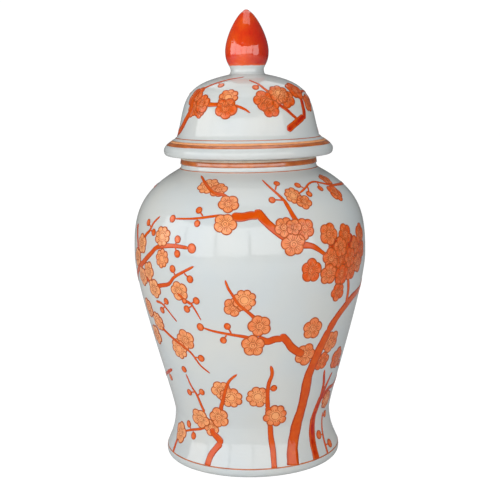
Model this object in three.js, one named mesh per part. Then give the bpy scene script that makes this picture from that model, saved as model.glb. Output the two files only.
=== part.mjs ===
// A tall porcelain ginger jar with a domed lid, made the way a potter makes it: every piece is
// turned, so every piece is one outline spun about the jar's axis. The jar is one piece. The lid
// is three pieces joined while soft and fired as one: the dome with its brim, the collar under it
// that drops into the jar's neck, and the hollow bud-shaped knob over the dome's vent hole.
//
// Millimetres, +Z up. The origin is on the axis, at the surface that the jar stands on.
// An outline is a list of (radius, height) points that runs anticlockwise around the clay.

import * as THREE from 'three';

// Jar
const FOOT_RADIUS = 85; // outer edge of the flat ring that the jar stands on
const FOOT_RING_WIDTH = 7;
const FOOT_RECESS = 6; // depth of the hollow inside the foot ring
const FOOT_BULGE = 5; // how far the foot swells out above the ring
const FOOT_BULGE_HEIGHT = 6.5;
const WAIST_RADIUS = 80.4;
const WAIST_HEIGHT = 47;
const BELLY_RADIUS = 117.8;
const BELLY_HEIGHT = 211;
const SHOULDER_HEIGHT = 297; // where the shoulder turns up into the neck
const NECK_RADIUS = 68.3;
const NECK_LENGTH = 14;
const JAR_WALL = 6;
const NECK_WALL = 6.5;
const FLOOR_THICKNESS = 9;
const FLOOR_CORNER = 16; // radius of the corner between the floor and the wall, inside
const RIM_ROUNDING = 1.3;

// Lid
const BRIM_OVERHANG = 17; // how far the brim stands out past the neck
const BRIM_EDGE_HEIGHT = 5.5; // the brim's widest point, above the seat
const BRIM_ROUNDING = 4; // width of the turned-under edge of the brim
const BRIM_SLOPE_WIDTH = 14; // the sloping shelf between the brim's edge and the dome
const BRIM_HEIGHT = 19; // seat to the top of the sloping shelf
const LEDGE_THICKNESS = 9.5; // the clay over the seat, inside the dome
const DOME_HEIGHT = 79.5; // seat to the flat crown that carries the knob
const DOME_WALL = 5.5;
const VENT_RADIUS = 4;
const COLLAR_CLEARANCE = 1.5; // gap between the collar and the inside of the neck
const COLLAR_WALL = 4.5;
const COLLAR_DEPTH = 18;
const COLLAR_ROUNDING = 1.4;

// Knob
const KNOB_NECK_RADIUS = 16.6;
const KNOB_NECK_HEIGHT = 4.5;
const KNOB_RADIUS = 21.8;
const KNOB_WIDEST_HEIGHT = 22;
const KNOB_HEIGHT = 63.5;
const KNOB_TIP_RADIUS = 3.4; // where the side gives way to the rounded tip
const KNOB_TIP_HEIGHT = 1.8;
const KNOB_WALL = 4.5;
const KNOB_SEAT_MARGIN = 1.5; // flat of the crown showing around the knob's neck

const AROUND = 48; // facets around every piece, so that neighbours' facets line up

// Sizes that follow from those above
const RIM_HEIGHT = SHOULDER_HEIGHT + NECK_LENGTH;
const NECK_BORE_RADIUS = NECK_RADIUS - NECK_WALL;
const BRIM_RADIUS = NECK_RADIUS + BRIM_OVERHANG;
const COLLAR_RADIUS = NECK_BORE_RADIUS - COLLAR_CLEARANCE;
const COLLAR_BORE_RADIUS = COLLAR_RADIUS - COLLAR_WALL;
const CROWN_HEIGHT = RIM_HEIGHT + DOME_HEIGHT;
const CROWN_RADIUS = KNOB_NECK_RADIUS + KNOB_SEAT_MARGIN;

const glaze = new THREE.MeshStandardMaterial({ color: '#d9dcda', roughness: 0.15, metalness: 0 });
const bareClay = new THREE.MeshStandardMaterial({ color: '#d8cfc2', roughness: 0.7, metalness: 0 });
const redEnamel = new THREE.MeshStandardMaterial({ color: '#d8450c', roughness: 0.2, metalness: 0 });

function at(radius, height) {
  return new THREE.Vector2(radius, height);
}

// A point part of the way from one point to another, by a share of the radius and of the height.
function between(from, to, radiusShare, heightShare) {
  return at(from.x + radiusShare * (to.x - from.x), from.y + heightShare * (to.y - from.y));
}

// A smooth stretch of outline. Each handle is a pair of shares of the way to the other end.
function curve(start, startHandle, endHandle, end, steps) {
  const startPull = between(start, end, ...startHandle);
  const endPull = between(end, start, ...endHandle);
  return new THREE.CubicBezierCurve(start, startPull, endPull, end).getPoints(steps);
}

function corner(start, cornerPoint, end, steps = 2) {
  return new THREE.QuadraticBezierCurve(start, cornerPoint, end).getPoints(steps);
}

// The inner face of a wall: each point of the outer face moved inwards, square to that face,
// and listed from the top down.
function insideOf(outerFace, wall) {
  const innerFace = outerFace.map((point, index) => {
    const before = outerFace[Math.max(index - 1, 0)];
    const after = outerFace[Math.min(index + 1, outerFace.length - 1)];
    const along = after.clone().sub(before).normalize();
    return at(point.x - along.y * wall, point.y + along.x * wall);
  });
  return innerFace.reverse();
}

// Spins an outline about the axis, leaving out each point that repeats the one before it.
function turned(name, outline, material) {
  const points = outline.filter((point, index) => index === 0 || !point.equals(outline[index - 1]));
  const geometry = new THREE.LatheGeometry(points, AROUND);
  geometry.rotateX(Math.PI / 2);
  const mesh = new THREE.Mesh(geometry, material);
  mesh.name = name;
  return mesh;
}

function jarBody() {
  const ringEdge = at(FOOT_RADIUS, 0);
  const bulge = at(FOOT_RADIUS + FOOT_BULGE, FOOT_BULGE_HEIGHT);
  const waist = at(WAIST_RADIUS, WAIST_HEIGHT);
  const belly = at(BELLY_RADIUS, BELLY_HEIGHT);
  const shoulderEnd = at(NECK_RADIUS + 2.5, SHOULDER_HEIGHT);
  const neckStart = at(NECK_RADIUS, SHOULDER_HEIGHT + 4);

  const foot = corner(ringEdge, at(bulge.x, 1), bulge, 3);
  const flare = curve(bulge, [0, 0.18], [0, 0.6], waist, 5);
  const lowerWall = curve(waist, [0, 0.08], [0, 0.22], belly, 7);
  const upperWall = curve(belly, [0, 0.43], [0.94, 0.28], shoulderEnd, 8);
  const neckRoot = corner(shoulderEnd, at(NECK_RADIUS + 0.3, SHOULDER_HEIGHT + 1.2), neckStart);
  const rim = [
    at(NECK_RADIUS, RIM_HEIGHT - RIM_ROUNDING),
    at(NECK_RADIUS - RIM_ROUNDING, RIM_HEIGHT),
    at(NECK_BORE_RADIUS + RIM_ROUNDING, RIM_HEIGHT),
    at(NECK_BORE_RADIUS, RIM_HEIGHT - RIM_ROUNDING),
  ];

  const boreEnd = at(NECK_BORE_RADIUS, SHOULDER_HEIGHT - 0.5 * JAR_WALL);
  const wallInside = insideOf([...lowerWall, ...upperWall.slice(1)], JAR_WALL);
  const bellyInside = wallInside.filter((point) => point.x > NECK_BORE_RADIUS + 1);
  const floorHeight = FOOT_RECESS + FLOOR_THICKNESS;
  const floorEdge = WAIST_RADIUS - JAR_WALL;
  const floor = corner(
    at(floorEdge, floorHeight + FLOOR_CORNER),
    at(floorEdge, floorHeight),
    at(floorEdge - FLOOR_CORNER, floorHeight),
    3,
  );

  const footBore = FOOT_RADIUS - FOOT_RING_WIDTH;
  const outline = [
    at(0, FOOT_RECESS),
    at(footBore - 3, FOOT_RECESS),
    at(footBore, 0.5 * FOOT_RECESS),
    at(footBore, 0),
    ...foot,
    ...flare,
    ...lowerWall,
    ...upperWall,
    ...neckRoot,
    ...rim,
    boreEnd,
    ...bellyInside,
    ...floor,
    at(0, floorHeight),
  ];
  return turned('jar_body', outline, glaze);
}

function lidDome() {
  const brimEdge = at(BRIM_RADIUS, RIM_HEIGHT + BRIM_EDGE_HEIGHT);
  const domeRoot = at(BRIM_RADIUS - BRIM_SLOPE_WIDTH, RIM_HEIGHT + BRIM_HEIGHT);
  const crownEdge = at(CROWN_RADIUS, CROWN_HEIGHT);

  const underEdge = corner(at(BRIM_RADIUS - BRIM_ROUNDING, RIM_HEIGHT), at(BRIM_RADIUS, RIM_HEIGHT), brimEdge);
  const shelf = curve(brimEdge, [0, 0.4], [0.25, 0.28], domeRoot, 4);
  const dome = curve(domeRoot, [0.17, 0.6], [0.9, 0.16], crownEdge, 9);

  const outline = [
    at(COLLAR_BORE_RADIUS, RIM_HEIGHT),
    ...underEdge,
    ...shelf,
    ...dome,
    at(VENT_RADIUS, CROWN_HEIGHT),
    at(VENT_RADIUS, CROWN_HEIGHT - DOME_WALL),
    ...insideOf(dome, DOME_WALL),
    at(COLLAR_BORE_RADIUS, RIM_HEIGHT + LEDGE_THICKNESS),
    at(COLLAR_BORE_RADIUS, RIM_HEIGHT),
  ];
  return turned('lid_dome', outline, glaze);
}

function lidCollar() {
  const bottom = RIM_HEIGHT - COLLAR_DEPTH;
  const outline = [
    at(COLLAR_BORE_RADIUS, bottom + COLLAR_ROUNDING),
    at(COLLAR_BORE_RADIUS + COLLAR_ROUNDING, bottom),
    at(COLLAR_RADIUS - COLLAR_ROUNDING, bottom),
    at(COLLAR_RADIUS, bottom + COLLAR_ROUNDING),
    at(COLLAR_RADIUS, RIM_HEIGHT),
    at(COLLAR_BORE_RADIUS, RIM_HEIGHT),
    at(COLLAR_BORE_RADIUS, bottom + COLLAR_ROUNDING),
  ];
  return turned('lid_collar', outline, bareClay);
}

function lidKnob() {
  const neckTop = at(KNOB_NECK_RADIUS, CROWN_HEIGHT + KNOB_NECK_HEIGHT);
  const widest = at(KNOB_RADIUS, CROWN_HEIGHT + KNOB_WIDEST_HEIGHT);
  const tip = at(0, CROWN_HEIGHT + KNOB_HEIGHT);
  const tipEdge = at(KNOB_TIP_RADIUS, tip.y - KNOB_TIP_HEIGHT);

  const lower = curve(neckTop, [0, 0.2], [0, 0.6], widest, 4);
  const upper = curve(widest, [0, 0.38], [0.34, 0.08], tipEdge, 6);
  const roundTip = corner(tipEdge, at(0.6 * KNOB_TIP_RADIUS, tip.y), tip);

  const wallInside = insideOf([...lower, ...upper.slice(1)], KNOB_WALL);
  const hollow = wallInside.filter((point) => point.x > 1);
  const mouthRadius = hollow[hollow.length - 1].x;
  const outline = [
    at(mouthRadius, CROWN_HEIGHT),
    at(KNOB_NECK_RADIUS, CROWN_HEIGHT),
    ...lower,
    ...upper,
    ...roundTip,
    at(0, hollow[0].y),
    ...hollow,
    at(mouthRadius, CROWN_HEIGHT),
  ];
  return turned('lid_knob', outline, redEnamel);
}

const gingerJar = new THREE.Group();
gingerJar.add(jarBody(), lidDome(), lidCollar(), lidKnob());

export default gingerJar;
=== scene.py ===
"""A white porcelain ginger jar with plum blossom painted over the glaze in orange enamel.

The jar and its lid are turned again here from the CAD outlines, in fine steps. The painting is
thin shells of enamel laid on the glaze: washes, then branches, then the fine brush lines.

Outlines and brushwork are in millimetres. A place on a painted face is a turn in degrees from the
front (positive towards +X) and a height. On the lid, the height is measured up the dome's outline.
"""

import math
import random

import bpy
import numpy as np
from mathutils import Euler, Matrix, Vector


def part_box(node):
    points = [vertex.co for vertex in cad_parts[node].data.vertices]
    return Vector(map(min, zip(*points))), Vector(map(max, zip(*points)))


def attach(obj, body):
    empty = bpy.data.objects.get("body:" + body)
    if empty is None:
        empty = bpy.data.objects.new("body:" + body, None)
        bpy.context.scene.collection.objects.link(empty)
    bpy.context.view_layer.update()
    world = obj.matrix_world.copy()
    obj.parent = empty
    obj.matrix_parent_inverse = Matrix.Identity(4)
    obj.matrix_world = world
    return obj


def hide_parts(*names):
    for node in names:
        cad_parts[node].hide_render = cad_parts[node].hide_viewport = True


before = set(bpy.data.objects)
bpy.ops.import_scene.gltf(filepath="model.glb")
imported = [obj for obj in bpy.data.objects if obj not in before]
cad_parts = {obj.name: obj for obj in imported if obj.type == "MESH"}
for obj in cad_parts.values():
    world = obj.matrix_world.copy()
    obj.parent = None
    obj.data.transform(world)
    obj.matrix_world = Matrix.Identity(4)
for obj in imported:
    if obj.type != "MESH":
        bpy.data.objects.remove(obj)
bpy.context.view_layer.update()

MM = 0.001
AROUND = 256  # steps around every turned piece
STEP = 2.4  # length of a step along an outline
TOUCHING = 1e-4  # two points of an outline that are closer than this are one point
rng = random.Random(7)


# ---------------- sizes


def corners(node):
    """The lowest and highest corners of a CAD node, in millimetres."""
    low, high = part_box(node)
    return low / MM, high / MM


_, jar_high = corners("jar_body")
_, dome_high = corners("lid_dome")
collar_low, collar_high = corners("lid_collar")
_, knob_high = corners("lid_knob")

BELLY_RADIUS = jar_high.x
RIM_HEIGHT = jar_high.z
BRIM_RADIUS = dome_high.x
CROWN_HEIGHT = dome_high.z
COLLAR_RADIUS = collar_high.x
COLLAR_BOTTOM = collar_low.z
KNOB_RADIUS = knob_high.x
TOP = knob_high.z

FOOT_RADIUS = 85
FOOT_RING_WIDTH = 7
FOOT_RECESS = 6
FOOT_BULGE_RADIUS = 90
FOOT_BULGE_HEIGHT = 6.5
WAIST_RADIUS = 80.4
WAIST_HEIGHT = 47
BELLY_HEIGHT = 211
SHOULDER_HEIGHT = RIM_HEIGHT - 14
NECK_RADIUS = BRIM_RADIUS - 17
NECK_BORE_RADIUS = COLLAR_RADIUS + 1.5
JAR_WALL = 6
FLOOR_HEIGHT = 15
FLOOR_CORNER = 16
RIM_ROUNDING = 1.3
SEAT_RADIUS = NECK_RADIUS + 1.5  # outer edge of the unglazed seat under the brim
BRIM_EDGE_HEIGHT = RIM_HEIGHT + 5.5
BRIM_ROUNDING = 4
DOME_ROOT_RADIUS = BRIM_RADIUS - 14
DOME_ROOT_HEIGHT = RIM_HEIGHT + 19
LEDGE_HEIGHT = RIM_HEIGHT + 9.5
LEDGE_ROUNDING = 2
DOME_WALL = 5.5
VENT_RADIUS = 4
VENT_ROUNDING = 0.8
COLLAR_WALL = 4.5
COLLAR_ROUNDING = 1.4
COLLAR_FILLET = 1
KNOB_NECK_RADIUS = 16.6
KNOB_NECK_TOP = CROWN_HEIGHT + 4.5
KNOB_WIDEST_HEIGHT = CROWN_HEIGHT + 22
KNOB_TIP_RADIUS = 3.4
KNOB_TIP_HEIGHT = 1.8
KNOB_WALL = 4.5
KNOB_SEAT_MARGIN = 1.5
KNOB_FILLET = 4  # the neck runs into the dome through clay smoothed round it
KNOB_RED_FROM = CROWN_HEIGHT + 8.5  # the knob's foot is left white

BARE_DEPTH = 0.35  # thickness of the unglazed skin on the foot ring and the seats
GLAZE_EDGE = 0.5  # width of the edge where the glaze stops at the lid's seat
RIM_WEAR = 0.3  # how far the edges of the skin on the jar's rim slant
FOOT_WEAR_INSIDE = 0.6  # and those of the skin on the foot ring
FOOT_WEAR_OUTSIDE = 0.4
SUNK = 0.12  # how far the rim of a brush mark dips under the glaze
BEHIND = 0.05  # height of the lowest wash over the glaze
BRANCH = 0.30  # height of the branches
FRONT = 0.34  # height of the blossoms over the branches
LAYER = 0.045  # each overlapping blossom lies this much higher, in turns of LAYERS blossoms
LAYERS = 5
BAND = 0.14  # height of the painted rings over the glaze
BAND_STEP = 1.2
BAND_EDGE = 0.02  # how far their sides slant
LINE = 0.02  # a brush line stands this much over the wash under it
SWELL = 0.03  # and the middle of a stroke this much over its sides

PATH_SPACING = 1.5  # length of a step along a branch
RIM_LINE = 1.15  # widths of the fine lines: this one goes around a blossom
FOLD_LINE = 0.95  # between its petals
STAMEN_LINE = 0.85
EYE_LINE = 0.75
BUD_LINE = 0.9


# ---------------- colours


def colour(red, green, blue):
    """A screen colour as the linear values that a shader takes."""
    channels = [((c / 255 + 0.055) / 1.055) ** 2.4 for c in (red, green, blue)]
    return (*channels, 1.0)


GLAZE_COOL = colour(207, 213, 213)
GLAZE_WARM = colour(215, 216, 210)
GLAZE_SPECK = colour(150, 132, 112)
CLAY_PALE = colour(226, 216, 200)
CLAY_DARK = colour(196, 178, 154)
CLAY_FLASH = colour(196, 120, 66)
BRANCH_RED = colour(190, 26, 0)
BRANCH_BODY = colour(218, 78, 0)
BRANCH_LIGHT = colour(232, 108, 14)
BRANCH_EDGE = colour(160, 50, 0)
WASH_PALE = colour(252, 175, 115)
WASH_DEEP = colour(230, 84, 0)
LINE_DARK = colour(166, 64, 8)
LINE_LIGHT = colour(198, 88, 12)
BAND_BROWN = colour(180, 88, 30)
BAND_ORANGE = colour(206, 110, 44)
# the knob's right side: deeper red enamel, darkened as painted shade too
KNOB_DEEP_AND_SHADED = colour(190, 2, 0)
KNOB_RED = colour(226, 48, 0)
KNOB_ORANGE = colour(240, 92, 0)
FLOOR_PALE = colour(205, 205, 205)
FLOOR_GLOW = 1.16
FLOOR_GLOW_SHARE = 0.88  # the rest of what the camera sees of the floor is its lit surface


# ---------------- outlines


def curve(start, start_handle, end_handle, end):
    """A smooth stretch of outline. Each handle is a pair of shares of the way to the other end."""
    start = np.array(start, float)
    end = np.array(end, float)
    pull_out = start + np.array(start_handle) * (end - start)
    pull_in = end + np.array(end_handle) * (start - end)
    count = max(4, math.ceil(np.linalg.norm(end - start) / STEP))
    t = np.linspace(0, 1, count + 1)[:, None]
    return (
        (1 - t) ** 3 * start
        + 3 * (1 - t) ** 2 * t * pull_out
        + 3 * (1 - t) * t**2 * pull_in
        + t**3 * end
    )


def corner(start, corner_point, end, steps=6):
    """A rounded corner of an outline."""
    t = np.linspace(0, 1, steps + 1)[:, None]
    start, corner_point, end = (np.array(p, float) for p in (start, corner_point, end))
    return (1 - t) ** 2 * start + 2 * (1 - t) * t * corner_point + t**2 * end


def joined(*stretches):
    """Stretches of outline put end to end, with no point twice."""
    points = np.vstack([np.atleast_2d(np.array(s, float)) for s in stretches])
    gaps = np.linalg.norm(np.diff(points, axis=0), axis=1)
    return points[np.concatenate([[True], gaps > TOUCHING])]


def slopes(points):
    """The direction of an outline at each of its points."""
    along = np.gradient(points, axis=0)
    return along / np.linalg.norm(along, axis=1)[:, None]


def inside_of(outer, wall):
    """The inner face of a wall, from the top down."""
    along = slopes(outer)
    inner = outer + wall * np.column_stack([-along[:, 1], along[:, 0]])
    return inner[::-1]


def rounded_rim(inner, outer, height):
    """A flat rim between two walls, from the outer one to the inner one."""
    return joined(
        corner((outer, height - RIM_ROUNDING), (outer, height), (outer - RIM_ROUNDING, height), 4),
        corner((inner + RIM_ROUNDING, height), (inner, height), (inner, height - RIM_ROUNDING), 4),
    )


shoulder_end = (NECK_RADIUS + 2.5, SHOULDER_HEIGHT)
neck_start = (NECK_RADIUS, SHOULDER_HEIGHT + 4)
crown_edge = (KNOB_NECK_RADIUS + KNOB_SEAT_MARGIN, CROWN_HEIGHT)
knob_tip_edge = (KNOB_TIP_RADIUS, TOP - KNOB_TIP_HEIGHT)

foot_bulge = (FOOT_BULGE_RADIUS, FOOT_BULGE_HEIGHT)
waist = (WAIST_RADIUS, WAIST_HEIGHT)
belly = (BELLY_RADIUS, BELLY_HEIGHT)
flare = curve(foot_bulge, (0, 0.18), (0, 0.6), waist)
lower_wall = curve(waist, (0, 0.08), (0, 0.22), belly)
upper_wall = curve(belly, (0, 0.43), (0.94, 0.28), shoulder_end)
neck_root = corner(shoulder_end, (NECK_RADIUS + 0.3, SHOULDER_HEIGHT + 1.2), neck_start)
neck_top = (NECK_RADIUS, RIM_HEIGHT - RIM_ROUNDING)
jar_face = joined(flare, lower_wall, upper_wall, neck_root, neck_top)

brim_edge = (BRIM_RADIUS, BRIM_EDGE_HEIGHT)
dome_root = (DOME_ROOT_RADIUS, DOME_ROOT_HEIGHT)
shelf = curve(brim_edge, (0, 0.4), (0.25, 0.28), dome_root)
dome = curve(dome_root, (0.17, 0.6), (0.9, 0.16), crown_edge)


def jar_outline():
    """The glazed jar, without the unglazed skins on its foot ring and its rim."""
    foot = corner((FOOT_RADIUS, BARE_DEPTH), (FOOT_BULGE_RADIUS, 1), foot_bulge)
    wall = inside_of(joined(lower_wall, upper_wall), JAR_WALL)
    wall = wall[wall[:, 0] > NECK_BORE_RADIUS + 1]
    floor_edge = WAIST_RADIUS - JAR_WALL
    floor = corner(
        (floor_edge, FLOOR_HEIGHT + FLOOR_CORNER),
        (floor_edge, FLOOR_HEIGHT),
        (floor_edge - FLOOR_CORNER, FLOOR_HEIGHT),
        10,
    )
    bore = FOOT_RADIUS - FOOT_RING_WIDTH
    return joined(
        (0, FOOT_RECESS),
        corner((bore - 6, FOOT_RECESS), (bore, FOOT_RECESS), (bore, BARE_DEPTH)),
        foot,
        jar_face,
        rounded_rim(NECK_BORE_RADIUS, NECK_RADIUS, RIM_HEIGHT - BARE_DEPTH),
        (NECK_BORE_RADIUS, SHOULDER_HEIGHT - 0.5 * JAR_WALL),
        wall,
        floor,
        (0, FLOOR_HEIGHT),
    )


def foot_ring_outline():
    """The unglazed skin that the jar stands on."""
    inner = FOOT_RADIUS - FOOT_RING_WIDTH
    return joined(
        (inner + FOOT_WEAR_INSIDE, 0),
        (FOOT_RADIUS - FOOT_WEAR_OUTSIDE, 0),
        (FOOT_RADIUS, BARE_DEPTH),
        (inner, BARE_DEPTH),
        (inner + FOOT_WEAR_INSIDE, 0),
    )


def rim_seat_outline():
    """The unglazed skin on the jar's rim, where the lid rests."""
    inner = NECK_BORE_RADIUS + RIM_ROUNDING
    outer = NECK_RADIUS - RIM_ROUNDING
    return joined(
        (inner, RIM_HEIGHT - BARE_DEPTH),
        (outer, RIM_HEIGHT - BARE_DEPTH),
        (outer - RIM_WEAR, RIM_HEIGHT),
        (inner + RIM_WEAR, RIM_HEIGHT),
        (inner, RIM_HEIGHT - BARE_DEPTH),
    )


def dome_outline():
    """The glazed dome and brim, hollow down to the ledge, with the vent hole in its crown."""
    bore = COLLAR_RADIUS - COLLAR_WALL
    seat = RIM_HEIGHT + BARE_DEPTH
    under_edge = corner(
        (BRIM_RADIUS - BRIM_ROUNDING, RIM_HEIGHT),
        (BRIM_RADIUS, RIM_HEIGHT),
        brim_edge,
    )
    vent_edge = corner(
        (VENT_RADIUS + VENT_ROUNDING, CROWN_HEIGHT),
        (VENT_RADIUS, CROWN_HEIGHT),
        (VENT_RADIUS, CROWN_HEIGHT - VENT_ROUNDING),
        3,
    )
    ledge_edge = corner(
        (bore + LEDGE_ROUNDING, LEDGE_HEIGHT),
        (bore, LEDGE_HEIGHT),
        (bore, LEDGE_HEIGHT - LEDGE_ROUNDING),
        3,
    )
    return joined(
        (bore, seat),
        (SEAT_RADIUS, seat),
        (SEAT_RADIUS + GLAZE_EDGE, RIM_HEIGHT),
        under_edge,
        shelf,
        dome,
        vent_edge,
        (VENT_RADIUS, CROWN_HEIGHT - DOME_WALL),
        inside_of(dome, DOME_WALL),
        ledge_edge,
        (bore, seat),
    )


def collar_outline():
    """The unglazed collar, and the unglazed seat around it."""
    bore = COLLAR_RADIUS - COLLAR_WALL
    foot = COLLAR_BOTTOM
    seat = RIM_HEIGHT + BARE_DEPTH
    lead = COLLAR_ROUNDING
    root = corner(
        (COLLAR_RADIUS, RIM_HEIGHT - COLLAR_FILLET),
        (COLLAR_RADIUS, RIM_HEIGHT),
        (COLLAR_RADIUS + COLLAR_FILLET, RIM_HEIGHT),
        3,
    )
    return joined(
        corner((bore, foot + lead), (bore, foot), (bore + lead, foot), 4),
        corner((COLLAR_RADIUS - lead, foot), (COLLAR_RADIUS, foot), (COLLAR_RADIUS, foot + lead), 4),
        root,
        (SEAT_RADIUS + GLAZE_EDGE, RIM_HEIGHT),
        (SEAT_RADIUS, seat),
        (bore, seat),
        (bore, foot + lead),
    )


def knob_outline():
    """The hollow knob, with its neck smoothed into the dome."""
    widest = (KNOB_RADIUS, KNOB_WIDEST_HEIGHT)
    lower = curve((KNOB_NECK_RADIUS, KNOB_NECK_TOP), (0, 0.2), (0, 0.6), widest)
    upper = curve(widest, (0, 0.38), (0.34, 0.08), knob_tip_edge)
    tip = corner(knob_tip_edge, (0.6 * KNOB_TIP_RADIUS, TOP), (0, TOP))
    hollow = inside_of(joined(lower, upper), KNOB_WALL)
    hollow = hollow[hollow[:, 0] > 1]
    mouth = hollow[-1][0]
    fillet_radius = KNOB_NECK_RADIUS + KNOB_FILLET
    dome_there = np.interp(fillet_radius, dome[::-1, 0], dome[::-1, 1])
    fillet = corner(
        (fillet_radius, dome_there - SUNK),
        (KNOB_NECK_RADIUS, CROWN_HEIGHT - 0.3),
        (KNOB_NECK_RADIUS, CROWN_HEIGHT + KNOB_FILLET),
    )
    return joined(
        (mouth, CROWN_HEIGHT),
        fillet,
        lower,
        upper,
        tip,
        (0, hollow[0][1]),
        hollow,
        (mouth, CROWN_HEIGHT),
    )


# ---------------- meshes


def placed(name, data):
    """A new object, in the scene."""
    made = bpy.data.objects.new(name, data)
    bpy.context.scene.collection.objects.link(made)
    return made


def make_object(name, points, faces, material, shades=None):
    """A smooth mesh object from points in millimetres. shades is a value from 0 to 1 per point."""
    mesh = bpy.data.meshes.new(name)
    mesh.from_pydata((np.array(points) * MM).tolist(), [], faces)
    mesh.validate()
    mesh.shade_smooth()
    if shades is not None:
        attribute = mesh.attributes.new("shade", "FLOAT", "POINT")
        attribute.data.foreach_set("value", np.array(shades, np.float32))
    mesh.materials.append(material)
    return placed(name, mesh)


def turned(name, outline, material):
    """An outline spun about the jar's axis. It starts and ends on the axis, or closes on itself."""
    turns = np.radians(np.arange(AROUND) * 360 / AROUND)
    points = []
    rows = []
    for radius, height in outline:
        first = len(points)
        if radius < TOUCHING:
            points.append((0, 0, height))
            rows.append([first] * AROUND)
        else:
            points.extend((radius * math.sin(a), -radius * math.cos(a), height) for a in turns)
            rows.append(list(range(first, first + AROUND)))
    if np.linalg.norm(outline[0] - outline[-1]) < TOUCHING:
        points = points[: rows[-1][0]]
        rows[-1] = rows[0]
    faces = []
    for low, high in zip(rows, rows[1:]):
        for k in range(AROUND):
            after = (k + 1) % AROUND
            ring = [low[k], low[after], high[after], high[k]]
            face = [v for i, v in enumerate(ring) if v != ring[i - 1]]
            if len(face) > 2:
                faces.append(face)
    return make_object(name, points, faces, material)


class Face:
    """A turned piece's outer face, as a sheet to paint on."""

    def __init__(self, outline, start_height=None):
        steps = np.linalg.norm(np.diff(outline, axis=0), axis=1)
        self.radius, self.height = outline.T
        self.along = np.concatenate([[0], np.cumsum(steps)])
        self.slope = slopes(outline)
        if start_height is not None:
            self.along = self.along - np.interp(start_height, self.height, self.along)

    def up(self, heights):
        """Heights turned into distances up the outline."""
        return np.interp(heights, self.height, self.along)

    def radius_at(self, up):
        return np.interp(up, self.along, self.radius)

    def lift(self, turn, up, proud):
        """Points over the face, proud of it by so many millimetres."""
        across = np.interp(up, self.along, self.slope[:, 0])
        rise = np.interp(up, self.along, self.slope[:, 1])
        radius = self.radius_at(up) + rise * proud
        height = np.interp(up, self.along, self.height) - across * proud
        angle = np.radians(turn)
        return np.column_stack([radius * np.sin(angle), -radius * np.cos(angle), height])

    def near(self, turn, up, right, above):
        """The place so many millimetres to the right of, and above, a place on the face."""
        there = up + np.asarray(above, float)
        return turn + np.degrees(np.asarray(right) / self.radius_at(there)), there


def tube(rings, size):
    """The faces between rings of points that follow one another."""
    faces = []
    for low in range(0, (rings - 1) * size, size):
        for j in range(size):
            k = (j + 1) % size
            faces.append([low + j, low + k, low + size + k, low + size + j])
    return faces


class Marks:
    """Brush marks of one colour on one face. Each is a thin closed shell with its rim sunk."""

    def __init__(self, face):
        self.face = face
        self.points = []
        self.shades = []
        self.faces = []
        self.count = 0

    def add(self, points, shades, faces):
        self.points.append(points)
        self.shades.append(shades)
        self.faces.extend([[v + self.count for v in f] for f in faces])
        self.count += len(points)

    def stroke(self, turns, ups, widths, proud, rim=-SUNK, shares=(0.5, 0.9), tone=0.5):
        """A brush stroke along places on the face. shares are where its top has points across it,
        and rim is the height of its two edges."""
        across = [-1.0, *[-s for s in reversed(shares)], 0.0, *shares, 1.0]
        swell = [0.0 if abs(a) == 1 else math.sqrt(1 - a * a) for a in across]
        radii = self.face.radius_at(ups)
        right = np.gradient(np.radians(turns)) * radii
        above = np.gradient(ups)
        length = np.maximum(np.hypot(right, above), 1e-9)
        side = np.column_stack([above, -right]) / length[:, None]
        rows = []
        for a, s in zip(across, swell):
            shift = side * (a * widths / 2)[:, None]
            turn, up = self.face.near(turns, ups, shift[:, 0], shift[:, 1])
            height = np.full(len(turns), rim if abs(a) == 1 else proud + s * SWELL)
            rows.append(self.face.lift(turn, up, height))
        size = len(across)
        points = np.stack(rows, axis=1).reshape(-1, 3)
        edge = np.abs(np.array(across))
        shades = np.tile(np.where(edge > 0.8, 1.0, tone), len(turns))
        faces = tube(len(turns), size)
        faces.append(list(range(size))[::-1])
        faces.append([(len(turns) - 1) * size + j for j in range(size)])
        self.add(points, shades, faces)

    def patch(self, turn, up, right, above, proud, rim_tone, middle_tone):
        """A wash of colour inside a rim, given as offsets from a place on the face."""
        levels = (0.97, 0.8, 0.55, 0.3)
        count = len(right)
        rings = [self.face.lift(*self.face.near(turn, up, right, above), -SUNK)]
        tones = [np.full(count, rim_tone)]
        for level in levels:
            place = self.face.near(turn, up, right * level, above * level)
            rings.append(self.face.lift(*place, proud))
            share = level**1.5
            tones.append(np.full(count, rim_tone * share + middle_tone * (1 - share)))
        middle = self.face.lift(np.array([turn]), np.array([up]), proud)
        under = self.face.lift(np.array([turn]), np.array([up]), -3 * SUNK)
        points = np.vstack([*rings, middle, under])
        shades = np.concatenate([*tones, [middle_tone, rim_tone]])
        faces = tube(len(rings), count)
        top = len(levels) * count
        for j in range(count):
            k = (j + 1) % count
            faces.append([top + j, top + k, len(points) - 2])
            faces.append([k, j, len(points) - 1])
        self.add(points, shades, faces)

    def finish(self, name, material):
        points = np.vstack(self.points)
        return make_object(name, points, self.faces, material, np.concatenate(self.shades))


# ---------------- brushwork


def smoothed(places, spacing):
    """A smooth path through places, as evenly spaced points."""
    places = np.array(places, float)
    ends = np.vstack([2 * places[0] - places[1], places, 2 * places[-1] - places[-2]])
    path = []
    for a, b, c, d in zip(ends, ends[1:], ends[2:], ends[3:]):
        for t in np.linspace(0, 1, 12, endpoint=False):
            bend = 2 * a - 5 * b + 4 * c - d
            twist = 3 * b - a - 3 * c + d
            path.append(0.5 * (2 * b + (c - a) * t + bend * t**2 + twist * t**3))
    path = np.array([*path, places[-1]])
    lengths = np.concatenate([[0], np.cumsum(np.linalg.norm(np.diff(path, axis=0), axis=1))])
    steps = np.linspace(0, lengths[-1], max(4, math.ceil(lengths[-1] / spacing)))
    return np.column_stack([np.interp(steps, lengths, axis) for axis in path.T])


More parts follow.
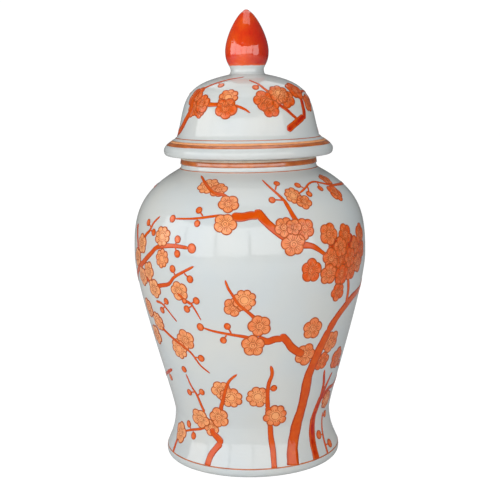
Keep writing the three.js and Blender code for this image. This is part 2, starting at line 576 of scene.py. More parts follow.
def rounded_end(distance, length):
    """How a stroke's width grows from its end: a half circle that is so many millimetres long."""
    left = 1 - np.clip(distance / length, 0, 1)
    return np.sqrt(np.maximum(1 - left**2, 0.03))


class Painter:
    """Paints one face: the washes, the branches, the petals' outlines and the finest lines."""

    def __init__(self, face, by_height):
        self.face = face
        self.by_height = by_height
        self.washes = Marks(face)
        self.branches = Marks(face)
        self.outlines = Marks(face)
        self.lines = Marks(face)
        self.layer = 0

    def up(self, height):
        return self.face.up(height) if self.by_height else height

    def branch(self, places, start_width, end_width, turned_by, tone, cut=False):
        """A branch that swells and thins a little, as the brush does. One that is cut has no
        rounded start."""
        ups = [float(self.up(h)) for _, h in places]
        scale = math.radians(1) * float(np.mean(self.face.radius_at(np.array(ups))))
        flat = [((turn + turned_by) * scale, up) for (turn, _), up in zip(places, ups)]
        path = smoothed(flat, PATH_SPACING)
        share = np.linspace(0, 1, len(path))
        widths = start_width + (end_width - start_width) * share
        phase = rng.uniform(0, 6.3)
        distance = share * len(path) * PATH_SPACING
        slow_swell = 0.05 * np.sin(distance * 0.16 + phase)
        quick_swell = 0.02 * np.sin(distance * 0.5 + 2 * phase)
        widths *= 1 + slow_swell + quick_swell
        # a broad branch ends bluntly, and a thin one runs out to a point
        tip_length = 0.5 * end_width if end_width > 5 else 1.2 * end_width + 1
        widths *= rounded_end(distance[::-1], tip_length)
        if not cut:
            widths *= rounded_end(distance, 0.5 * start_width)
        turns = path[:, 0] / scale
        self.branches.stroke(turns, path[:, 1], widths, BRANCH, shares=(0.45, 0.85), tone=tone)

    def line(self, turn, up, places, width, proud):
        """A fine line through offsets from a place on the face, thinning to its end."""
        offsets = np.array(places, float)
        turns, ups = self.face.near(turn, up, offsets[:, 0], offsets[:, 1])
        widths = width * np.linspace(1, 0.45, len(places))
        self.lines.stroke(turns, ups, widths, proud, proud - 2 * LINE, (0.7,))

    def loop(self, turn, up, right, above, width, proud):
        """A fine line that closes on itself."""
        right = np.append(right, right[:2])
        above = np.append(above, above[:2])
        turns, ups = self.face.near(turn, up, right, above)
        self.outlines.stroke(turns, ups, np.full(len(right), width), proud, shares=(0.85,))

    def next_layer(self, base):
        self.layer = (self.layer + 1) % LAYERS
        return base + self.layer * LAYER

    def blossom(self, turn, height, size, petals, base, deep, turned_by):
        """A plum blossom: round petals, stamens and an eye. With 5 petals it is newly open and
        its eye is small; with more it is full blown, around a broad pale eye."""
        turn = turn + turned_by
        up = float(self.up(height))
        proud = self.next_layer(base)
        radius = size / 2
        spin = rng.uniform(0, 360)
        lean = rng.uniform(0, 180)
        squeeze = rng.uniform(0.9, 1.0)
        uneven = [rng.uniform(0.95, 1.05) for _ in range(petals)]
        spacing = 360 / petals
        eye = 0.14 if petals == 5 else 0.33

        def place(angle, reach):
            """Offsets at angles in degrees and reaches from 0 to 1, flattened along the lean."""
            a = np.radians(np.asarray(angle, float) - lean)
            x = radius * reach * np.cos(a)
            y = radius * reach * np.sin(a) * squeeze
            tilt = math.radians(lean)
            return x * math.cos(tilt) - y * math.sin(tilt), x * math.sin(tilt) + y * math.cos(tilt)

        angles = np.arange(0, 360, spacing / 12)
        offset = np.radians((angles + spacing / 2) % spacing - spacing / 2)
        petal = np.array([uneven[int(a // spacing)] for a in (angles + spacing / 2) % 360])
        out, round_off = (0.5, 0.5) if petals == 5 else (0.66, 0.34)
        reach = out * np.cos(offset) + np.sqrt(round_off**2 - (out * np.sin(offset)) ** 2)
        rim_right, rim_above = place(angles + spin, reach * petal)
        tone = min(1.0, max(0.0, deep + rng.uniform(-0.1, 0.12)))
        middle = (1.1 * tone - 0.35) if petals == 5 else 0
        self.washes.patch(turn, up, rim_right, rim_above, proud, tone, middle)
        line_proud = proud + LINE
        self.loop(turn, up, rim_right * 0.95, rim_above * 0.95, RIM_LINE, line_proud)
        bends = (-0.24, 0, 0.24) if petals == 5 else (-0.2, 0.2)
        near = eye + 0.12
        for k in range(petals):
            axis = spin + spacing * k
            fold = place([axis + spacing / 2] * 5, np.linspace(0.78, near, 5))
            self.line(turn, up, np.column_stack(fold), FOLD_LINE, line_proud)
            for bend in bends:
                far = 0.7 - 0.5 * abs(bend)
                stamen = place([axis + bend * spacing] * 4, np.linspace(near, far, 4))
                self.line(turn, up, np.column_stack(stamen), STAMEN_LINE, line_proud)
        around_eye = place(np.arange(0, 361, 24.0), eye)
        self.line(turn, up, np.column_stack(around_eye), EYE_LINE, line_proud)

    def bud(self, turn, height, size, stalk, turned_by):
        """A round bud, on a thin stalk if it has one."""
        if stalk is not None:
            self.branch([stalk, (turn, height)], 1.8, 1.4, turned_by, BRANCH_TONE)
        up = float(self.up(height))
        turn = turn + turned_by
        angles = np.radians(np.arange(0, 360, 20.0))
        proud = FRONT + 0.02
        right = size / 2 * np.cos(angles)
        above = size / 2 * 1.08 * np.sin(angles)
        self.washes.patch(turn, up, right, above, proud, 0.95, 0.6)
        self.loop(turn, up, right * 0.92, above * 0.92, BUD_LINE, proud + LINE)


# ---------------- the painting on the jar

# Each branch: its places (turn, height), its width at the start and its width at the end.
JAR_BRANCHES = [
    # the main trunk, and the limb that carries on round the back
    ([(26, 10), (28, 26), (32, 44), (35, 62), (36, 80),
      (36, 98), (38, 110), (41, 126), (46, 146)], 13.5, 11.5),
    ([(45, 143), (51, 157), (59, 168), (66, 173), (78, 176)], 11.5, 9),
    ([(76, 176), (92, 184), (104, 196), (113, 206), (120, 214)], 8, 5),
    ([(57, 168), (56.5, 182), (54, 196)], 5, 4.5),
    # the third stem
    ([(57.5, 10), (59, 26), (60, 37), (62, 50)], 3.2, 2.4),
    # the limb from the cluster to the upper left
    ([(38, 220), (35, 225), (30, 231.5), (24, 234)], 3.8, 7),
    ([(26, 233), (19, 239), (13.5, 246), (8, 256), (3, 267)], 6.5, 9.6),
    ([(5, 261.5), (1, 262.5), (-4, 261), (-9, 262)], 8.6, 9),
    ([(-8, 268), (-13.5, 279), (-20.5, 281.5), (-27, 287), (-34, 292.5), (-38, 295)], 5, 2.4),
    ([(-10, 262), (-16, 262), (-27, 259), (-39, 257.5)], 3, 2),
    # the twigs at the upper right
    ([(27, 246), (22.5, 257), (20.3, 267), (18.5, 276)], 5.8, 4),
    ([(18.8, 274), (16, 280), (12.5, 286), (9, 292)], 3.6, 1.6),
    ([(19.5, 274), (15, 275), (13, 275)], 2, 1.6),
    ([(96, 280), (81, 281), (67, 282), (61, 282.5), (54, 285),
      (47, 287.5), (41, 286.5), (36, 283.5), (29, 279)], 4.4, 2),
    # the limbs at the upper left edge
    ([(-74, 246), (-71, 232), (-68, 216), (-63, 200), (-56, 190)], 5, 4.6),
    ([(-66, 206), (-60, 214), (-54, 222), (-49.5, 228.5),
      (-43, 231.6), (-36, 232.6), (-29, 231.7)], 6, 4),
    ([(-63, 232), (-59.4, 239), (-56, 244), (-54, 251), (-50, 258)], 4.6, 1.8),
    ([(-54, 188), (-48.5, 191.6), (-42, 195), (-38, 202.4), (-32.4, 208.7), (-26.5, 215)], 5, 2.4),
    # the small crosses of twigs under them
    ([(-37, 187), (-33, 181), (-30, 178), (-28, 172), (-25.5, 162)], 3.4, 1.4),
    ([(-55, 174), (-50, 173), (-46.5, 168), (-44, 163), (-41, 157)], 3.2, 1.4),
    # the long twig on the left
    ([(-58, 149), (-53.5, 144), (-47, 137.6), (-39.6, 131),
      (-35, 125), (-30.6, 114), (-25, 106.5)], 4.5, 1.6),
    # the limb on the middle of the belly
    ([(30, 124), (26.2, 127.5), (22, 133), (19, 140), (15.2, 148)], 8.6, 8.2),
    ([(17, 143), (12.5, 143.5), (8, 141.5), (3, 145.5)], 8, 7.6),
    ([(2, 144), (-3.7, 147), (-10, 149), (-20, 152), (-25, 154.6)], 4.2, 2),
    ([(5, 158), (1.2, 167), (-1.7, 172.5), (-5.8, 180),
      (-8.3, 188.5), (-10.4, 196), (-11.5, 203.5)], 4.4, 2.4),
    # the small tree at the bottom left
    ([(-30.6, 10), (-29.5, 19), (-26.5, 26), (-22.4, 33)], 7, 7.5),
    ([(-21.5, 32), (-25, 36.5), (-29, 41), (-30, 46)], 7.5, 6),
    ([(-34.5, 62), (-36, 68), (-38.2, 80), (-41.4, 89), (-43.6, 101)], 3.6, 2),
    ([(-21.5, 64), (-21, 70), (-19, 78), (-16.2, 91), (-13.5, 100), (-8.6, 107.5)], 4.8, 2.4),
    ([(-36, 45), (-41.4, 42), (-49.5, 38.6), (-58.5, 34), (-66, 31)], 3, 2.2),
    ([(-66.2, 10), (-66.6, 20), (-66, 28)], 4.5, 4),
    # the stem at the bottom centre
    ([(13.2, 10), (13.5, 26), (12.6, 38.6), (12.2, 51), (10.8, 64), (9.9, 72)], 6.4, 5.6),
    ([(10, 70), (9.5, 84), (9.9, 96), (11.7, 107), (10.6, 116)], 5, 3.4),
]

# Branches in the redder enamel: the second trunk and its forks, and the ground of the cluster.
JAR_RED_BRANCHES = [
    ([(45, 10), (46, 26), (48, 44), (51, 60), (54, 72)], 10, 8),
    ([(53.5, 69), (53, 84), (51, 94), (50, 101)], 5.5, 3),
    ([(53.5, 69), (57, 82), (61, 94)], 6, 3),
    ([(53, 67), (62, 76), (72, 76), (90, 82), (106, 90), (122, 101)], 5.5, 3.5),
    ([(41, 196), (40, 208), (42, 222), (43, 236)], 16, 15),
    ([(53, 198), (54, 212), (55, 226), (56, 238)], 19, 15),
    ([(66, 202), (66, 216), (66, 230)], 17, 14),
]

# Blossoms: (turn, height, size, petals). The first lot lie behind the branches.
JAR_BLOSSOMS_BEHIND = [
    (49.5, 131, 26, 5), (45.5, 112, 22, 5), (31, 124, 25, 5), (-3, 184, 23.5, 8),
    (-8.5, 177, 20, 5), (-19.5, 89, 22, 5), (-13.5, 82, 24, 8), (3.5, 83, 24, 8),
    (-30.5, 47, 19, 5), (-26.5, 287, 22, 8), (-18.5, 284, 19, 5), (-37.5, 139, 23, 5),
    (-44, 128, 24, 8), (-45.5, 219, 20, 8), (25, 278, 20, 8), (30, 272, 17, 5),
    (57.5, 276, 21, 5), (61, 288, 17, 5), (-36, 189.5, 21, 5),
]

JAR_BLOSSOMS_FRONT = [
    (33.3, 150, 24, 5), (62, 109, 25, 5), (63, 64, 21, 8), (-66.6, 163, 21, 5),
    (4.2, 158, 23, 5), (0.8, 138, 23.5, 5), (-10.8, 272.5, 22, 5), (-11.5, 255, 22.5, 5),
    (16, 251, 20, 5), (21, 250.5, 17, 5), (26.5, 248.5, 22, 5), (20.2, 235, 25, 5),
    (-45.5, 240, 22, 8), (-63.5, 229, 21, 5), (-70, 214, 21, 5), (-57, 204, 21, 5),
    (-65, 196, 21, 5), (-54, 187, 21, 5), (-58, 152, 21, 8), (-66, 135, 22, 5),
    (-39.5, 54, 24, 5), (-23.5, 59, 24, 5), (15.5, 61, 25, 8), (-63, 31, 23, 5),
]

CLUSTER = [
    (40, 241, 24, 5), (29, 209, 24, 5), (51.5, 238, 23, 5), (67, 234, 23, 5),
    (39, 203, 23, 5), (47, 227, 21, 5), (60, 225, 21, 5), (40.5, 218, 22, 5),
    (63, 207, 21, 5), (54.5, 215, 22, 5), (48, 200, 22, 5), (47.5, 214, 20, 5),
    (56, 202, 21, 5), (47, 183, 20, 5), (68, 219, 20, 5),
]

# Buds: (turn, height, size, place that its stalk grows from, if it has one)
JAR_BUDS = [
    (-40.5, 257.3, 7, None), (-26, 266.3, 6.5, (-23, 261)),
    (-25.6, 254.6, 6, (-26, 259)), (12.2, 275, 6.5, None),
    (18, 288.5, 6, (15.4, 283)), (31.5, 286, 6.5, (35, 283)),
    (35.6, 278, 6.5, (38, 284)), (46.8, 281.5, 6.5, (49, 287)),
    (-27.5, 231.7, 9, None), (-35.5, 239, 7, (-37, 233)),
    (-35.5, 225.5, 7, (-37, 232)), (-59, 250.5, 6.5, (-55, 246)),
    (-52.6, 242.5, 6.5, (-56, 244)), (-38.5, 210.5, 7, (-37, 204)),
    (-28.8, 202.4, 7, (-32, 208)), (-26.7, 181.5, 7, (-30, 178)),
    (-32.8, 172, 7, (-29.5, 176)), (-33.5, 180, 5.5, (-30, 177)),
    (-46, 176.5, 6.5, (-48.5, 172)), (-51, 166, 6.5, (-48, 171)),
    (-29.2, 121.8, 7, (-33.5, 122)), (-26.5, 155, 7.5, None),
    (-11.9, 157.5, 6.5, (-10, 149.5)), (-14.6, 143, 6.5, (-12.5, 149)),
    (-64, 90, 6.5, (-66, 95)), (-44.2, 106, 6.5, None),
    (-44.5, 81, 6.5, (-39, 83)), (-33.5, 84.5, 6.5, (-38, 79)),
    (-53, 43.5, 7, (-50, 38.5)), (-46.8, 33.5, 7, (-48, 39)),
    (13.2, 91.5, 6.5, (9.6, 90)), (54, 30, 8.5, (59, 28)),
    (64.5, 17, 8.5, (58, 18)), (66, 47, 7, (62, 46)),
    (70, 100, 7, None),
]

# The lid: heights here are distances up the dome's outline from its root.
LID_BRANCHES = [
    ([(-90, 3), (-81, 5), (-72, 9), (-64, 19), (-58, 28), (-61, 38), (-58, 51)], 9.5, 6),
    ([(-41, 33.5), (-30, 33.5), (-20, 33.5), (-10, 32), (-3, 29), (2, 25)], 5.5, 2),
    ([(-55, 51), (-46, 58.5), (-40, 63), (-27, 71), (-6, 78)], 3.4, 1.6),
    ([(21, 46), (16, 53), (13, 58.5), (8, 63), (2.5, 68)], 3.4, 1.6),
]

LID_RED_BRANCHES = [
    ([(25, 37), (30, 31), (35, 27), (41, 21), (46, 17)], 4.2, 3.2),
    ([(32.5, 7.5), (40, 12.5), (47, 16.5), (54, 20)], 8, 7),
    ([(54, 17), (56, 24), (56.5, 30), (57.5, 38), (56, 46)], 6.5, 5),
    ([(60, 42), (70, 46), (84, 46), (90, 44)], 3.5, 2),
]

LID_BLOSSOMS_BEHIND = [
    (-58.5, 42, 25, 5), (-56, 29, 18, 5), (69, 33, 20, 5),
]

LID_BLOSSOMS_FRONT = [
    (-44, 34, 20, 5), (-46, 27, 15, 5), (-18, 41, 21, 8), (-19, 29.5, 23, 5),
    (38, 38.5, 21, 5), (31, 44, 23, 8), (19.5, 29.5, 20, 5), (14.5, 37.5, 22, 5),
    (55.5, 48, 23, 5),
]

LID_BUDS = [
    (-31.5, 57, 6.5, (-38, 61)), (8.6, 53, 6.5, (14, 58)),
    (80, 38, 6, (78, 46)),
]

SIDES = (0, 180)  # the front's painting is repeated on the back, as the pair to it
FOOT_LINE_HEIGHT = 10  # a branch that starts here is cut off by the line around the foot
# How deep the enamel is: 0 and 1 are the ends of its material's ramp.
BRANCH_TONE = 0.35
RED_TONE = 0.0
CLUSTER_TONE = 0.8
LID_BEHIND_TONE = 0.75
LID_FRONT_TONE = 0.8


def jar_tone(turn):
    """How deep a blossom's wash is: the painting on the jar pales towards the left."""
    return 0.45 + turn / 200


def toned(blossoms, tone=None):
    """Blossoms with the depths of their washes added: the jar's own, unless one is given."""
    return [(*blossom, jar_tone(blossom[0]) if tone is None else tone) for blossom in blossoms]


def paint(painter, behind, branches, red_branches, front, buds):
    """Paints a face on both of its sides, from the lowest layer to the top one."""
    for side in SIDES:
        for turn, height, size, petals, tone in behind:
            painter.blossom(turn, height, size, petals, BEHIND, tone, side)
        for tone, group in ((BRANCH_TONE, branches), (RED_TONE, red_branches)):
            for places, start_width, end_width in group:
                cut = places[0][1] == FOOT_LINE_HEIGHT
                painter.branch(places, start_width, end_width, side, tone, cut)
        for turn, height, size, petals, tone in front:
            painter.blossom(turn, height, size, petals, FRONT, tone, side)
        for turn, height, size, stalk in buds:
            painter.bud(turn, height, size, stalk, side)


def paint_jar(sheet):
    painter = Painter(sheet, by_height=True)
    behind = toned(JAR_BLOSSOMS_BEHIND)
    front = [*toned(JAR_BLOSSOMS_FRONT), *toned(CLUSTER, CLUSTER_TONE)]
    paint(painter, behind, JAR_BRANCHES, JAR_RED_BRANCHES, front, JAR_BUDS)
    return painter


def paint_lid(sheet):
    painter = Painter(sheet, by_height=False)
    behind = toned(LID_BLOSSOMS_BEHIND, LID_BEHIND_TONE)
    front = toned(LID_BLOSSOMS_FRONT, LID_FRONT_TONE)
    paint(painter, behind, LID_BRANCHES, LID_RED_BRANCHES, front, LID_BUDS)
    return painter


def band(name, face, low, high, material, run=0.0):
    """A painted ring around the whole piece, between two heights, and thicker by the run at its
    lower edge."""
    low = float(face.up(low))
    high = float(face.up(high))
    ups = np.linspace(low, high, max(3, math.ceil((high - low) / BAND_STEP)))
    ups = np.array([low - BAND_EDGE, *ups, high + BAND_EDGE])
    proud = np.interp(ups, (low, high), (BAND + run, BAND))
    proud[0] = proud[-1] = -SUNK
    places = face.lift(np.zeros(len(ups)), ups, proud)
    outline = np.column_stack([-places[:, 1], places[:, 2]])
    return turned(name, joined(outline, outline[0]), material)


# ---------------- materials


class Nodes:
    """A material's node tree, with short calls for the nodes used here."""

    def __init__(self, name):
        self.material = bpy.data.materials.new(name)
        self.material.use_nodes = True
        self.tree = self.material.node_tree
        self.shader = self.tree.nodes["Principled BSDF"]
        self.place = self.node("ShaderNodeTexCoord").outputs["Object"]

    def node(self, kind, **settings):
        made = self.tree.nodes.new(kind)
        for key, value in settings.items():
            setattr(made, key, value)
        return made

    def link(self, source, target):
        self.tree.links.new(source, target)

    def feed(self, socket, value):
        """Links a node's output into a socket, or sets a constant there."""
        if isinstance(value, bpy.types.NodeSocket):
            self.link(value, socket)
        else:
            socket.default_value = value

    def noise(self, scale, detail, place=None):
        made = self.node("ShaderNodeTexNoise")
        made.inputs["Scale"].default_value = scale
        made.inputs["Detail"].default_value = detail
        self.link(place or self.place, made.inputs["Vector"])
        return made.outputs["Fac"]

    def ramp(self, value, *stops):
        """Maps a value to colours: stops are (position, colour)."""
        made = self.node("ShaderNodeValToRGB")
        elements = made.color_ramp.elements
        while len(elements) < len(stops):
            elements.new(0.5)
        for element, (position, shade) in zip(elements, stops):
            element.position = position
            element.color = shade
        self.link(value, made.inputs["Fac"])
        return made.outputs["Color"]

    def mix(self, factor, first, second):
        made = self.node("ShaderNodeMix", data_type="RGBA")
        # the node has a set of sockets for every kind of value: these are the ones for colours
        self.feed(made.inputs[0], factor)
        self.feed(made.inputs[6], first)
        self.feed(made.inputs[7], second)
        return made.outputs[2]

    def maths(self, operation, first, second):
        made = self.node("ShaderNodeMath", operation=operation)
        self.feed(made.inputs[0], first)
        self.feed(made.inputs[1], second)
        return made.outputs[0]

    def span(self, value, low, high, from_low=0.0, from_high=1.0):
        """A value moved from one range to another, and kept inside it."""
        made = self.node("ShaderNodeMapRange")
        ends = {"From Min": from_low, "From Max": from_high, "To Min": low, "To Max": high}
        for name, number in ends.items():
            made.inputs[name].default_value = number
        self.link(value, made.inputs["Value"])
        return made.outputs["Result"]

    def uneven(self, scale, detail, low, high):
        """Noise that runs from one number to another."""
        return self.span(self.noise(scale, detail), low, high, 0.3, 0.7)

    def bump(self, height, distance, strength, over=None):
        made = self.node("ShaderNodeBump")
        made.inputs["Distance"].default_value = distance
        made.inputs["Strength"].default_value = strength
        self.link(height, made.inputs["Height"])
        if over is not None:
            self.link(over, made.inputs["Normal"])
        return made.outputs["Normal"]

    def shade(self):
        return self.node("ShaderNodeAttribute", attribute_name="shade").outputs["Fac"]

    def set(self, **values):
        """Sets or links the shader's own sockets, such as Base_Color."""
        for key, value in values.items():
            self.feed(self.shader.inputs[key.replace("_", " ")], value)


def glaze_colour(nodes):
    """Slightly uneven cool white, with a few iron specks."""
    clouds = nodes.ramp(nodes.noise(14, 2), (0.35, GLAZE_COOL), (0.7, GLAZE_WARM))
    cells = nodes.node("ShaderNodeTexVoronoi")
    cells.inputs["Scale"].default_value = 42
    nodes.link(nodes.place, cells.inputs["Vector"])
    near = nodes.span(cells.outputs["Distance"], 0.75, 0, 0.012, 0.03)
    chosen = nodes.span(nodes.noise(23, 0), 0, 1, 0.56, 0.6)
    return nodes.mix(nodes.maths("MULTIPLY", near, chosen), clouds, GLAZE_SPECK)


def glaze_surface(nodes):
    """The gloss of a fired glaze: slow waves from the wheel, and a fine orange peel."""
    nodes.set(Roughness=nodes.uneven(38, 2, 0.05, 0.13))
    drawn_out = nodes.node("ShaderNodeMapping")
    drawn_out.inputs["Scale"].default_value = (0.3, 0.3, 1)
    nodes.link(nodes.place, drawn_out.inputs["Vector"])
    waves = nodes.bump(nodes.noise(70, 2, drawn_out.outputs["Vector"]), 0.001, 0.4)
    nodes.set(Normal=nodes.bump(nodes.noise(420, 2), 0.00006, 0.5, waves))


def glaze_material():
    nodes = Nodes("white_glaze")
    glaze_surface(nodes)
    nodes.set(Base_Color=glaze_colour(nodes), IOR=1.5)
    return nodes.material


def clay_material():
    """Bare fired porcelain: chalky, fine grained and a little toasted."""
    nodes = Nodes("bare_porcelain")
    clouds = nodes.ramp(nodes.noise(60, 4), (0.3, CLAY_DARK), (0.65, CLAY_PALE))
    toasted = nodes.span(nodes.noise(24, 3), 0, 0.55, 0.52, 0.75)
    nodes.set(Base_Color=nodes.mix(toasted, clouds, CLAY_FLASH))
    nodes.set(Roughness=nodes.span(nodes.noise(500, 2), 0.6, 0.85))
    nodes.set(Normal=nodes.bump(nodes.noise(1500, 3), 0.0001, 0.6))
    return nodes.material


def enamel_surface(nodes, ior=1.42):
    """Glossy enamel, a little uneven from the brush."""
    nodes.set(Roughness=nodes.uneven(120, 3, 0.06, 0.14))
    nodes.set(Normal=nodes.bump(nodes.noise(700, 2), 0.00008, 0.5))
    nodes.set(IOR=ior)


def branch_material():
    """Solid enamel, thin in streaks and darker where the brush left its edge."""
    nodes = Nodes("branch_enamel")
    body = nodes.ramp(nodes.shade(), (0.0, BRANCH_RED), (0.3, BRANCH_BODY))
    thin = nodes.span(nodes.noise(170, 4), 0, 0.55, 0.42, 0.72)
    streaks = nodes.mix(thin, body, BRANCH_LIGHT)
    edge = nodes.span(nodes.shade(), 0, 0.75, 0.6, 1)
    nodes.set(Base_Color=nodes.mix(edge, streaks, BRANCH_EDGE))
    enamel_surface(nodes)
    return nodes.material


def wash_material():
    """Thin enamel that pools in places, so that the white shows through unevenly."""
    nodes = Nodes("wash_enamel")
    pools = nodes.uneven(260, 3, -0.2, 0.25)
    depth = nodes.maths("ADD", nodes.shade(), pools)
    nodes.set(Base_Color=nodes.ramp(depth, (0.0, WASH_PALE), (0.9, WASH_DEEP)))
    enamel_surface(nodes)
    return nodes.material


def line_material():
    nodes = Nodes("line_enamel")
    nodes.set(Base_Color=nodes.ramp(nodes.noise(330, 3), (0.35, LINE_DARK), (0.7, LINE_LIGHT)))
    enamel_surface(nodes)
    return nodes.material


def band_material():
    """The rings, laid on while the piece turns: browner than the rest, and glossier."""
    nodes = Nodes("band_enamel")
    nodes.set(Base_Color=nodes.ramp(nodes.noise(90, 4), (0.35, BAND_BROWN), (0.6, BAND_ORANGE)))
    enamel_surface(nodes, ior=1.9)
    return nodes.material


def knob_material():
    """Red enamel over glaze: clouded, deeper red and darker on its right side, partly thicker enamel
    and partly painted shade, with a thin edge over a white foot.
    """
    nodes = Nodes("red_enamel")
    place = nodes.node("ShaderNodeSeparateXYZ")
    nodes.link(nodes.place, place.inputs["Vector"])
    # the right side, away from the windows, is darker and redder: partly thicker enamel, partly
    # painted shade
    thicker_and_shaded_side = nodes.span(place.outputs["X"], 0, 0.9, -0.004, 0.02)
    clouds = nodes.ramp(nodes.noise(55, 4), (0.35, KNOB_RED), (0.72, KNOB_ORANGE))
    clouds = nodes.mix(thicker_and_shaded_side, clouds, KNOB_DEEP_AND_SHADED)
    waver = nodes.uneven(90, 2, -0.6 * MM, 0.6 * MM)
    height = nodes.maths("ADD", place.outputs["Z"], waver)
    border = KNOB_RED_FROM * MM
    blur = 0.4 * MM
    thin_edge = nodes.span(height, 1, 0, border, border + 2.2 * MM)
    enamel = nodes.mix(thin_edge, clouds, KNOB_ORANGE)
    covered = nodes.span(height, 0, 1, border - blur, border + blur)
    nodes.set(Base_Color=nodes.mix(covered, glaze_colour(nodes), enamel))
    nodes.set(Roughness=nodes.uneven(80, 2, 0.05, 0.12))
    waves = nodes.bump(nodes.noise(110, 2), 0.0012, 0.4)
    nodes.set(Normal=nodes.bump(nodes.noise(420, 2), 0.00006, 0.5, waves))
    nodes.set(IOR=1.8)
    return nodes.material


def floor_material():
    """White for the eye, and an ordinary pale surface for the light that it throws back."""
    nodes = Nodes("studio_floor")
    nodes.set(Base_Color=FLOOR_PALE, Roughness=0.8)
    glow = nodes.node("ShaderNodeEmission")
    glow.inputs["Strength"].default_value = FLOOR_GLOW
    light_path = nodes.node("ShaderNodeLightPath")
    share = nodes.maths("MULTIPLY", light_path.outputs["Is Camera Ray"], FLOOR_GLOW_SHARE)
    blend = nodes.node("ShaderNodeMixShader")
    output = nodes.tree.nodes["Material Output"]
    nodes.link(share, blend.inputs["Fac"])
    nodes.link(nodes.shader.outputs["BSDF"], blend.inputs[1])
    nodes.link(glow.outputs["Emission"], blend.inputs[2])
    nodes.link(blend.outputs["Shader"], output.inputs["Surface"])
    return nodes.material


# ---------------- studio

# The camera, as fitted to the photo's outline. Its place is in heights of the whole jar.
CAMERA_LENS = 77.6
CAMERA_DISTANCE = 2.407
CAMERA_HEIGHT = 0.864
CAMERA_TILT = 9.354  # degrees downwards
CAMERA_ROLL = -0.9

LIGHT_TINT = (0.98, 0.985, 1.0)
ROOM_TINT = (0.95, 0.98, 1.0, 1.0)
ROOM_STRENGTH = 0.12
BACKDROP_STRENGTH = 1.05
WINDOW_PANES = 5
FIRST_PANE_TURN = -80
PANE_SPACING = 32  # degrees, which leaves a gap for the glazing bar between two panes
PANE_WIDTH = 0.93
PANE_HEIGHT = 1.0
PANE_RADIANCE = 2.7
PANE_FADING = 0.1  # each pane to the right is this much dimmer
FLOOR_HALF_WIDTH = 6000
FLOOR_LEVEL = -0.2  # just clear of the foot ring


def make_camera():
    camera = bpy.data.cameras.new("camera")
    camera.sensor_width = 36
    camera.lens = CAMERA_LENS
    camera.clip_end = 50
    holder = placed("camera", camera)
    height = CAMERA_HEIGHT * TOP * MM
    distance = CAMERA_DISTANCE * TOP * MM
    tilt = Euler((math.radians(90 - CAMERA_TILT), 0, 0)).to_matrix().to_4x4()
    roll = Matrix.Rotation(math.radians(CAMERA_ROLL), 4, "Z")
    holder.matrix_world = Matrix.Translation((0, -distance, height)) @ tilt @ roll
    bpy.context.scene.camera = holder


def softbox(name, turn, elevation, distance, width, height, radiance):
    """A rectangular light that faces the jar's belly, in metres and degrees. Its radiance is
    how bright it looks, whatever its size."""
    light = bpy.data.lights.new(name, "AREA")
    light.shape = "RECTANGLE"
    light.size = width
    light.size_y = height
    light.energy = radiance * math.pi * width * height
    light.color = LIGHT_TINT
    holder = placed(name, light)
    turn = math.radians(turn)
    elevation = math.radians(elevation)
    outwards = math.cos(elevation)
    direction = Vector(
        (math.sin(turn) * outwards, -math.cos(turn) * outwards, math.sin(elevation))
    )
    target = Vector((0, 0, BELLY_HEIGHT * MM))
    holder.location = target + distance * direction
    holder.rotation_euler = direction.to_track_quat("Z", "Y").to_euler()


def make_world():
    """White behind the jar, and a dimmer room around it for the light and the reflections."""
    world = bpy.data.worlds.new("studio")
    world.use_nodes = True
    tree = world.node_tree
    room = tree.nodes["Background"]
    room.inputs["Color"].default_value = ROOM_TINT
    room.inputs["Strength"].default_value = ROOM_STRENGTH
    backdrop = tree.nodes.new("ShaderNodeBackground")
    backdrop.inputs["Color"].default_value = (1, 1, 1, 1)
    backdrop.inputs["Strength"].default_value = BACKDROP_STRENGTH
    light_path = tree.nodes.new("ShaderNodeLightPath")
    blend = tree.nodes.new("ShaderNodeMixShader")
    tree.links.new(light_path.outputs["Is Camera Ray"], blend.inputs["Fac"])
    tree.links.new(room.outputs["Background"], blend.inputs[1])
    tree.links.new(backdrop.outputs["Background"], blend.inputs[2])
    tree.links.new(blend.outputs["Shader"], tree.nodes["World Output"].inputs["Surface"])
    bpy.context.scene.world = world


def make_floor():
    half = FLOOR_HALF_WIDTH
    sides = ((-half, -half), (half, -half), (half, half), (-half, half))
    points = [(x, y, FLOOR_LEVEL) for x, y in sides]
    floor = make_object("studio_floor", points, [(0, 1, 2, 3)], floor_material())


def keep(piece, body, slot, *nodes):
    """Gives a piece its body and hides the CAD nodes that it stands in for. The slot is not used."""
    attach(piece, body)
    if nodes:
        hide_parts(*nodes)


# ---------------- build

glaze = glaze_material()
clay = clay_material()
branch_enamel = branch_material()
wash_enamel = wash_material()
line_enamel = line_material()
band_enamel = band_material()

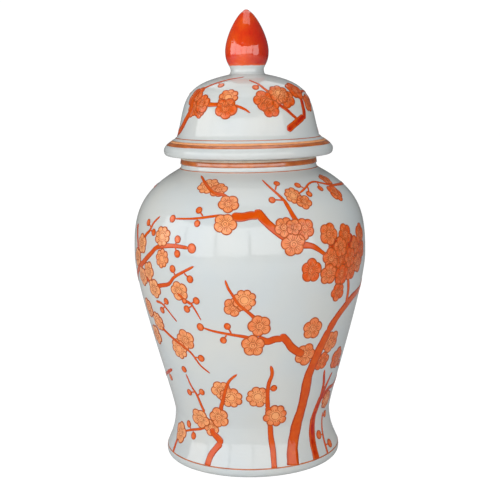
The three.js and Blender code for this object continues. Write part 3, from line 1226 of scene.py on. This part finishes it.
keep(turned("jar_glazed_body", jar_outline(), glaze), "jar", "white_glaze", "jar_body")
keep(turned("jar_foot_ring", foot_ring_outline(), clay), "jar", "bare_porcelain")
keep(turned("jar_rim_seat", rim_seat_outline(), clay), "jar", "bare_porcelain")
keep(turned("lid_glazed_dome", dome_outline(), glaze), "lid", "white_glaze", "lid_dome")
keep(turned("lid_bare_collar", collar_outline(), clay), "lid", "bare_porcelain", "lid_collar")
keep(turned("lid_red_knob", knob_outline(), knob_material()), "lid", "red_enamel", "lid_knob")

jar_sheet = Face(jar_face)
lid_sheet = Face(joined(shelf, dome), DOME_ROOT_HEIGHT)
jar_rings = (
    ("jar_foot_line", 9.1, 10.3, 0),
    ("jar_shoulder_line", 297.7, 298.4, 0),
    ("jar_neck_band", 302.6, 307.3, 0.7),
)
for name, low, high, run in jar_rings:
    keep(band(name, jar_sheet, low, high, band_enamel, run), "jar", "painted_enamel")
# bare clay on the neck just under the brim: a real unglazed margin, also laid there as a darker
# strip of painted shadow under the brim
shaded_margin = band("jar_bare_margin_and_painted_shade", jar_sheet, 307.4, 309.5, clay)
keep(shaded_margin, "jar", "bare_porcelain")
lid_rings = (
    ("lid_brim_stripe", 321.5, 324.4, band_enamel),
    ("lid_brim_wash", 324.5, 326.2, wash_enamel),
    ("lid_dome_line", 328.3, 328.9, band_enamel),
)
for name, low, high, material in lid_rings:
    keep(band(name, lid_sheet, low, high, material), "lid", "painted_enamel")

for body, painter in (("jar", paint_jar(jar_sheet)), ("lid", paint_lid(lid_sheet))):
    layers = (
        ("petal_washes", painter.washes, wash_enamel),
        ("branches", painter.branches, branch_enamel),
        ("petal_outlines", painter.outlines, line_enamel),
        ("stamens", painter.lines, line_enamel),
    )
    for name, marks, material in layers:
        keep(marks.finish(f"{body}_{name}", material), body, "painted_enamel")

make_camera()
make_world()
make_floor()
for pane in range(WINDOW_PANES):
    turn = FIRST_PANE_TURN + PANE_SPACING * pane
    radiance = PANE_RADIANCE - PANE_FADING * pane
    softbox(f"window_pane_{pane}", turn, 12, 1.8, PANE_WIDTH, PANE_HEIGHT, radiance)
softbox("overhead", turn=0, elevation=85, distance=1.6, width=1.2, height=1.2, radiance=1.3)
softbox("behind", turn=180, elevation=58, distance=2.4, width=2.0, height=1.2, radiance=1.6)

bpy.context.scene.view_settings.view_transform = "Standard"
bpy.context.scene.view_settings.look = "None"
